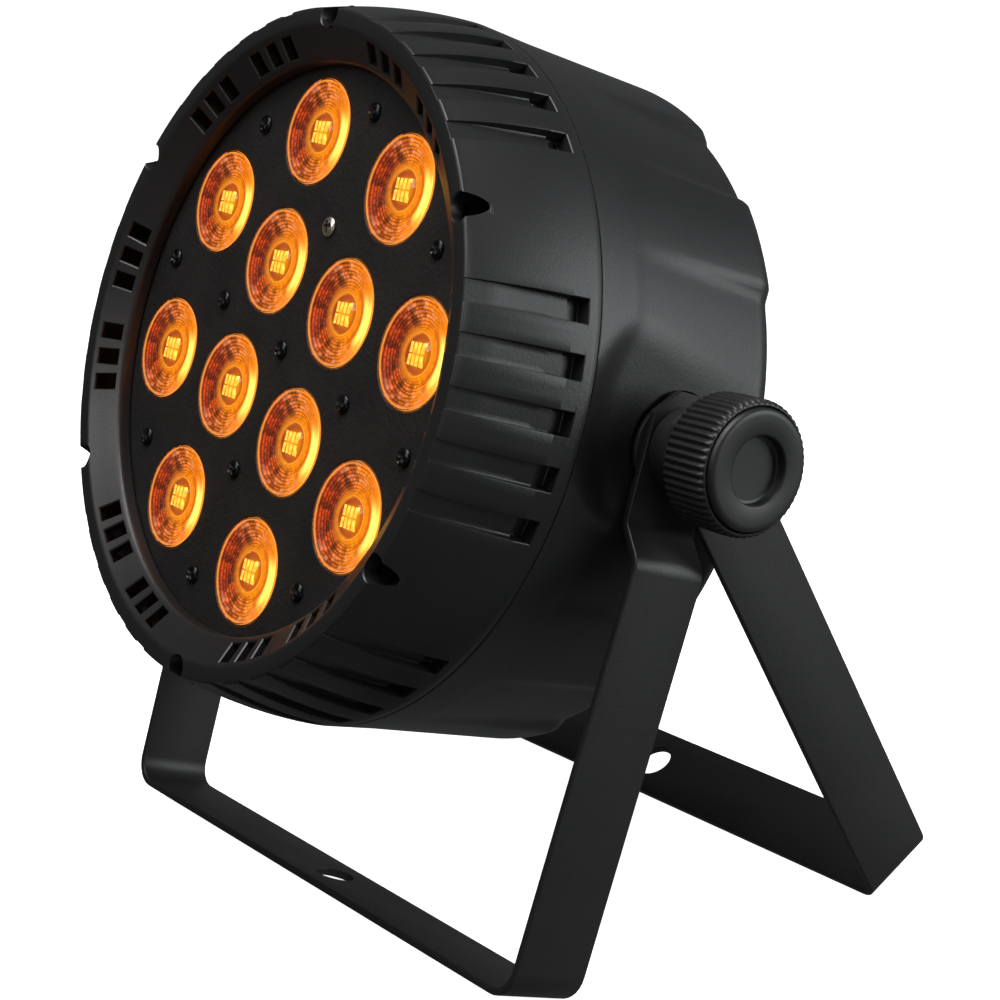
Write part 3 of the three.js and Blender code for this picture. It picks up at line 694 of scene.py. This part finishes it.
for number, (x, up) in enumerate(SCREW_SPOTS, 1):
    material = NICKEL if number == 2 else BLACK_STEEL
    screw = cross_screw(f"plate_cross_screw_{number:02d}", x, up, SCREW_SEAT, SCREW_RISE, 37 * number, 1.4)
    finish_piece(screw, material, "head", [f"plate_screw_{number:02d}"])
    # painted shade: the walls of the cross recess get the dark material
    paint_recess_shade(screw, SCREW_SEAT, SCREW_RISE)
for number, (x, up) in enumerate(NOTCH_SPOTS, 1):
    screw = cross_screw(f"rim_screw_{number}", x, up, 70.4, 2.2, 23 * number, 1.6)
    finish_piece(screw, BLACK_STEEL, "head", [f"bezel_screw_{number}"])


# ---- yokes ----
def strap_path(outline, arc_radius, arc_steps):
    """Centre line of half a strap, top of the arm to the middle of the crossbar, with round corners."""
    path = [outline[0]]
    for before, corner, after in zip(outline, outline[1:], outline[2:]):
        p, q, s = Vector(before), Vector(corner), Vector(after)
        into, out = (p - q).normalized(), (s - q).normalized()
        half = math.acos(max(-1, min(1, into.dot(out)))) / 2
        radius = arc_radius if half < math.radians(60) else 6.0
        reach = radius / math.tan(half)
        centre = q + (into + out).normalized() * (radius / math.sin(half))
        start, end = q + into * reach - centre, q + out * reach - centre
        sweep = start.angle_signed(end)
        for i in range(arc_steps + 1):
            t = -sweep * i / arc_steps
            path.append(tuple(centre + Vector((start.x * math.cos(t) - start.y * math.sin(t),
                                               start.x * math.sin(t) + start.y * math.cos(t)))))
    path.append(outline[-1])
    return path


def strap(name, outline, arc_radius, length, place):
    """A flat bar bent along a path of (x, distance below the tilt axis), with clipped ends and its holes."""
    half_path = strap_path(outline, arc_radius, 8)
    path = [Vector(p) for p in half_path] + [Vector((-x, s)) for x, s in reversed(half_path[:-1])]
    section = []
    edge_r = 0.5
    half_u, half_v = STRAP_THICK / 2 - edge_r, STRAP_WIDTH / 2 - edge_r
    for su, sv, turn in ((1, 1, 0), (-1, 1, 90), (-1, -1, 180), (1, -1, 270)):
        for i in range(4):
            t = math.radians(turn + 30 * i)
            section.append((su * half_u + edge_r * math.cos(t), sv * half_v + edge_r * math.sin(t)))
    points = []
    for i, p in enumerate(path):
        before, after = path[max(i - 1, 0)], path[min(i + 1, len(path) - 1)]
        d0, d1 = (p - before), (after - p)
        tangent = ((d0.normalized() if d0.length else d1.normalized()) +
                   (d1.normalized() if d1.length else d0.normalized())).normalized()
        other = d1.normalized() if d1.length else d0.normalized()
        stretch = 1.0 / max(0.5, tangent.dot(other))
        normal = Vector((tangent.y, -tangent.x)) * stretch
        points.append([(p.x + u * normal.x, v, -(p.y + u * normal.y)) for u, v in section])
    ob = build(name, *tube(points, False), place)
    top, corner, half = 16.7, 8.0, STRAP_WIDTH / 2
    right = [(half, -length - 5), (half, top - corner), (12.9, top - corner + 0.9), (6.1, top - 0.6),
             (5.0, top)]
    end = [(-half, -length - 5)] + right + [(-y, z) for y, z in reversed(right[1:])]
    end = [(y * 1.0004, z) for y, z in end]
    n = len(end)
    mask_verts = [(x, y, z) for x in (-150, 150) for y, z in end]
    mask_faces = [tuple(range(n)), tuple(range(n, 2 * n))]
    mask_faces += [(i, (i + 1) % n, n + (i + 1) % n, n + i) for i in range(n)]
    combine(ob, build("mask", mask_verts, mask_faces, place), "INTERSECT")
    combine(ob, build("pivot_hole", *across([(BORE_R, -150), (BORE_R, 150)], 40), place), "DIFFERENCE")
    turns = [2 * math.pi * j / 48 for j in range(48)]
    ring = [[(r * math.cos(t), r * math.sin(t), -length - s) for t in turns]
            for r, s in ((6.9, 6.0), (6.9, 0.1), (CLAMP_R, -0.35), (CLAMP_R, -2.15), (6.9, -2.6),
                         (6.9, -8.0))]
    combine(ob, build("clamp_hole", *tube(ring, False), place), "DIFFERENCE")
    return ob


FRONT_LENGTH = 170.0
rear_lean = yoke_place("rear_clamp_face").to_euler().x
REAR_LENGTH = (PIVOT.z / MM - STRAP_WIDTH / 2 * math.sin(abs(rear_lean))) / math.cos(rear_lean)
front_bar, rear_bar = FRONT_LENGTH - STRAP_THICK / 2, REAR_LENGTH - STRAP_THICK / 2
front_outline = [(111.25, -20.0), (111.25, 24.6), (120.25, 34.6), (114.85, front_bar), (0.0, front_bar)]
rear_outline = [(123.95, -20.0), (123.95, rear_bar), (0.0, rear_bar)]
finish_piece(strap("front_yoke_strap", front_outline, 8.75, FRONT_LENGTH, yoke_place("front_clamp_face")),
             YOKE, "front_support", ["front_yoke"], 30.0)
finish_piece(strap("rear_yoke_strap", rear_outline, 4.75, REAR_LENGTH, yoke_place("rear_clamp_face")),
             YOKE, "rear_support", ["rear_yoke"], 30.0)


# ---- knobs, spacers, washers and studs ----
RIBS = 54
PIVOT_PLACE = Matrix.Translation(PIVOT)


def knob(name, side):
    """Ribbed grip with a raised rim, a groove and a flat face with a round recess."""
    rows = [(BORE_R, 125.5, 0), (16.4, 125.5, 0), (17.0, 126.0, 0), (17.6, 126.6, 0), (19.0, 127.0, 0.3),
            (19.9, 127.6, 0.8), (20.1, 128.4, 1), (20.2, 132.0, 1), (20.3, 138.0, 1), (20.3, 142.2, 1),
            (20.1, 143.3, 0.8), (19.6, 144.1, 0.4), (19.1, 144.5, 0.1), (18.7, 144.5, 0), (18.5, 143.9, 0),
            (18.3, 143.6, 0), (18.0, 143.9, 0), (17.9, 145.3, 0), (17.6, 145.95, 0), (17.0, 146.25, 0),
            (16.0, 146.3, 0), (10.8, 146.3, 0), (10.35, 146.15, 0), (10.2, 145.8, 0), (10.2, 143.3, 0),
            (9.9, 142.95, 0), (9.0, 142.9, 0), (0.4, 142.9, 0)]
    wave = [1.0, 0.97, 0.5, 0.05, 0.0, 0.05, 0.5, 0.97]
    columns = RIBS * len(wave)
    points = []
    for r, x, ribbed in rows:
        row = []
        for j in range(columns):
            t = 2 * math.pi * j / columns
            radius = r - ribbed * 0.85 * (1 - wave[j % len(wave)])
            row.append((side * x, radius * math.cos(t), radius * math.sin(t)))
        points.append(row)
    verts, faces = grid(points, close_rows=False)
    last = (len(rows) - 1) * columns
    faces.append(tuple(range(last, last + columns)))
    bore = len(verts)
    turns = [2 * math.pi * j / columns for j in range(columns)]
    verts += [(side * 139.0, BORE_R * math.cos(t), BORE_R * math.sin(t)) for t in turns]
    faces += [(j, (j + 1) % columns, bore + (j + 1) % columns, bore + j) for j in range(columns)]
    faces.append(tuple(range(bore, bore + columns)))
    return build(name, verts, faces, PIVOT_PLACE)


def ring_piece(name, outer, low, high, side, edge=0.3):
    """A round collar on the stud, with chamfered outer edges."""
    profile = [(BORE_R, low), (outer - edge, low), (outer, low + edge), (outer, high - edge),
               (outer - edge, high), (BORE_R, high)]
    return build(name, *across(profile, 72, side, closed=True), PIVOT_PLACE)


def stud(name, side):
    """A smooth stud in place of the threaded one, with a hexagonal flange."""
    flange_x, flange_r, sixth = 102.8, 8, math.pi / 3
    profile = [(11.0, 97.0), (11.0, 102.2), (10.6, 102.7), (4.9, 102.7), (4.9, 138.5), (4.4, 139.0)]
    verts, faces = across(profile, 48, side)
    flat = []
    for x, y, z in verts:
        shrink = 1.0
        if abs(x) <= flange_x and math.hypot(y, z) >= flange_r:
            shrink = max(1.0, math.cos((math.atan2(z, y) + sixth / 2) % sixth - sixth / 2) * 1.155)
        flat.append((x, y / shrink, z / shrink))
    return build(name, flat, faces, PIVOT_PLACE)


for label, side in (("right", 1), ("left", -1)):
    finish_piece(knob(f"ribbed_knob_{label}", side), KNOB, f"{label}_knob", [f"knob_{label}"],
                 50.0)
    finish_piece(ring_piece(f"arm_spacer_{label}", 13.0, 112.8, 122.4, side), KNOB, "head",
                 [f"spacer_{label}"])
    finish_piece(ring_piece(f"grip_washer_{label}", 15.0, 107.8, 109.7, side), RUBBER, "head",
                 [f"friction_washer_{label}"])
    finish_piece(stud(f"threaded_stud_{label}", side), ZINC, "head", [f"pivot_stud_{label}"])


# ---- rear panel and its fittings ----
SOCKETS = {"dmx_in": (-40, -8), "dmx_out": (40, -8), "power_in": (-25, -50), "power_out": (25, -50)}
BUTTON_XS = (-27, -9, 9, 27)


def rear_panel():
    """The round panel with its display, button, socket and vent openings."""
    front = PANEL_A + 2.0
    ob = build("control_panel", *spun([(86.2, PANEL_A), (PANEL_R, -33.9), (PANEL_R, -32.5), (86.4, front),
                                       (0.4, front), (0.4, PANEL_A)], 144))
    combine(ob, build("cap", *spun([(1.0, PANEL_A), (1.0, front)], 12, False)), "UNION")
    holes = [rounded_block(53, 21, -40, -30, 0, WINDOW_UP, 0.0)]
    holes += [spun([(4.5, -40), (4.5, -30)], 32, False, x, BUTTON_UP) for x in BUTTON_XS]
    holes += [spun([(12.0, -40), (12.0, -30)], 48, False, x, up) for x, up in SOCKETS.values()]
    holes += [rounded_block(34, 2.6, -40, -30, 0, up - 6, 0.0) for up in (-16, -10, -4, 2, 8)]
    return combine(ob, build("holes", *merge(*holes)), "DIFFERENCE")


panel = finish_piece(bevelled(rear_panel(), 0.25), PANEL, "head", ["rear_panel"])
for face in panel.data.polygons:
    face.use_smooth = abs(face.normal.y) < 0.999
glass = build("display_glass", *rounded_block(52.4, 20.4, -34.9, -32.6, 0, WINDOW_UP, 0.5))
finish_piece(glass, window_material(), "head", ["display_window"])
for number, x in enumerate(BUTTON_XS, 1):
    cap = [(1.6, -28.9), (1.6, -30.7), (5.4, -30.7), (5.4, -31.9), (4.05, -31.9), (4.05, -35.4), (3.9, -35.8),
           (3.5, -36.1), (2.6, -36.05), (1.2, -35.8), (0.3, -35.75)]
    button = build(f"push_button_{number}", *spun(cap, 40, False, x, BUTTON_UP))
    finish_piece(button, BUTTON, f"button_{number}_body", [f"button_{number}"])


def socket_piece(name, x, up):
    """A rectangular flange with a round barrel, its contacts and two screw holes."""
    flange = build(name + "_socket", *rounded_block(26, 30, -36.0, -34.6, x, up, 0.35))
    barrel = spun([(11.6, -14.0), (11.6, -36.4), (11.2, -36.9), (1.0, -36.9), (1.0, -14.0)], 64, True, x, up)
    combine(flange, build("fill", *spun([(2.0, -14.0), (2.0, -36.9)], 12, False, x, up)), "UNION")
    combine(flange, build("barrel", *barrel), "UNION")
    screws = merge(*[spun([(1.7, -40), (1.7, -30)], 20, False, x + dx, up + du)
                     for dx, du in ((-9.5, 12), (9.5, -12))])
    combine(flange, build("screws", *screws), "DIFFERENCE")
    spots = [polar(3.6, t) for t in (90, 210, 330)]
    if name == "dmx_in":
        combine(flange, build("well", *spun([(9.2, -40), (9.2, -18)], 56, False, x, up)), "DIFFERENCE")
        pin = [(1.2, -17.5), (1.2, -30.4), (0.8, -30.9)]
        pins = [spun(pin, 20, False, x + dx, up + du) for dx, du in spots]
        combine(flange, build("pins", *merge(*pins)), "UNION")
    elif name == "dmx_out":
        pins = [spun([(1.4, -40), (1.4, -26)], 20, False, x + dx, up + du) for dx, du in spots]
        combine(flange, build("pins", *merge(*pins)), "DIFFERENCE")
    else:
        tool = build("ring", *spun([(9.6, -40), (9.6, -18), (6.2, -18), (6.2, -40)], 56, True, x, up))
        combine(flange, tool, "DIFFERENCE")
        spots = [polar(3.2, t) for t in ((90, 210, 330) if name == "power_in" else (30, 150, 270))]
        pins = [rounded_block(1.4, 2.6, -40, -28, x + dx, up + du, 0.0) for dx, du in spots]
        combine(flange, build("pins", *merge(*pins)), "DIFFERENCE")
    return bevelled(flange, 0.15, 50.0)


for name, (x, up) in SOCKETS.items():
    material = {"power_in": SOCKET_BLUE, "power_out": SOCKET_GREY}.get(name, SOCKET_METAL)
    finish_piece(socket_piece(name, x, up), material, "head", [name])


# ---- carried CAD nodes inside the head ----
INSIDE = {
    "led_board": board_material("white_board", (0.62, 0.62, 0.6)), "heat_sink": FIN,
    "fan_frame": BLACK_AND_RECESS_SHADE, "fan_rotor": BLACK_AND_RECESS_SHADE,
    "power_board": board_material("green_board", (0.02, 0.1, 0.05)),
    "control_board": board_material("control_board_green", (0.02, 0.09, 0.06)),
}
for node, material in INSIDE.items():
    mesh = frame["nodes"][node].data
    mesh.materials.clear()
    mesh.materials.append(material)


# ---- floor and light ----
def pale_floor():
    """A pale floor that sweeps up into a wall and a ceiling, kept out of reflections, bounces and shadows."""
    n = Nodes("pale_floor")
    tone = n.noise(1.5, 2.0)
    n.set(Base_Color=n.mix(tone, rgb(0.84, 0.84, 0.84), rgb(0.88, 0.88, 0.88)), Roughness=0.9,
          Emission_Color=rgb(1.0, 1.0, 1.0), Emission_Strength=1.0)
    n.shader.inputs["Specular IOR Level"].default_value = 0.1
    flat_r, cove_r, segments = 6.0, 2.0, 72
    sweep = [(0.02, 0.0), (3.0, 0.0), (flat_r, 0.0)]
    sweep += [(flat_r + cove_r * math.sin(t * math.pi / 20), cove_r - cove_r * math.cos(t * math.pi / 20))
              for t in range(1, 11)]
    sweep += [(8.0, 5.0), (6.5, 7.0), (3.5, 8.0), (0.02, 8.3)]
    turns = [2 * math.pi * t / segments for t in range(segments)]
    rings = [[(r * math.cos(t), r * math.sin(t), z) for t in turns] for r, z in sweep]
    verts, faces = tube(rings, False)
    mesh = bpy.data.meshes.new("floor")
    mesh.from_pydata(verts, [], faces)
    mesh.materials.append(n.material)
    mesh.shade_smooth()
    floor = link("floor", mesh, Matrix())
    floor.visible_glossy = False
    floor.visible_diffuse = False
    floor.visible_shadow = False


def studio_world():
    """Dim surroundings, brighter to the right and behind."""
    world = bpy.data.worlds.new("studio")
    world.use_nodes = True
    tree = world.node_tree
    place = tree.nodes.new("ShaderNodeTexCoord")
    split = tree.nodes.new("ShaderNodeSeparateXYZ")
    tree.links.new(place.outputs["Generated"], split.inputs[0])

    def ramp(axis, low, high, to_low, to_high):
        node = tree.nodes.new("ShaderNodeMapRange")
        for key, value in (("From Min", low), ("From Max", high), ("To Min", to_low), ("To Max", to_high)):
            node.inputs[key].default_value = value
        tree.links.new(split.outputs[axis], node.inputs["Value"])
        return node.outputs["Result"]

    total = tree.nodes.new("ShaderNodeMath")
    total.operation = "ADD"
    tree.links.new(ramp("X", -1.0, 1.0, 0.015, 0.1), total.inputs[0])
    tree.links.new(ramp("Y", -1.0, 1.0, 0.02, 0.13), total.inputs[1])
    tree.links.new(total.outputs[0], tree.nodes["Background"].inputs["Strength"])
    tree.nodes["Background"].inputs["Color"].default_value = rgb(0.96, 0.98, 1.0)
    scene.world = world


def area_light(name, place, target, size, power, colour=(1, 1, 1)):
    """A softbox at a place, aimed at a target."""
    data = bpy.data.lights.new(name, "AREA")
    data.shape, data.size, data.size_y = "RECTANGLE", size[0], size[1]
    data.energy, data.color = power, colour
    ob = bpy.data.objects.new(name, data)
    scene.collection.objects.link(ob)
    ob.location = place
    ob.rotation_euler = (Vector(target) - Vector(place)).to_track_quat("-Z", "Y").to_euler()


pale_floor()
studio_world()
area_light("behind_right", (1.5, 1.35, 0.6), (0, 0, 0.16), (1.1, 1.3), 23, (0.97, 0.99, 1.0))
area_light("front_top", (0.1, -1.5, 1.5), (0, 0, 0.16), (1.0, 0.7), 10, (1.0, 0.99, 0.97))
area_light("fill_right", (1.7, -1.1, 0.3), (0, -0.1, 0.12), (0.9, 0.9), 1.5)
area_light("overhead", (0.1, -0.25, 1.5), (0, 0, 0.1), (0.9, 0.8), 18)

for number, (x, up) in enumerate(LENS_SPOTS, 1):
    data = bpy.data.lights.new(f"lens_spill_{number}", "POINT")
    data.energy, data.color, data.shadow_soft_size = 0.007, (1.0, 0.22, 0.02), 0.006
    spill = bpy.data.objects.new(f"lens_spill_{number}", data)
    scene.collection.objects.link(spill)
    spill.location = HEAD @ Vector((x * MM, -80 * MM, up * MM))
    spill.visible_camera = False
    spill.visible_glossy = False
    spill.visible_transmission = False

scene.view_settings.view_transform = "Standard"
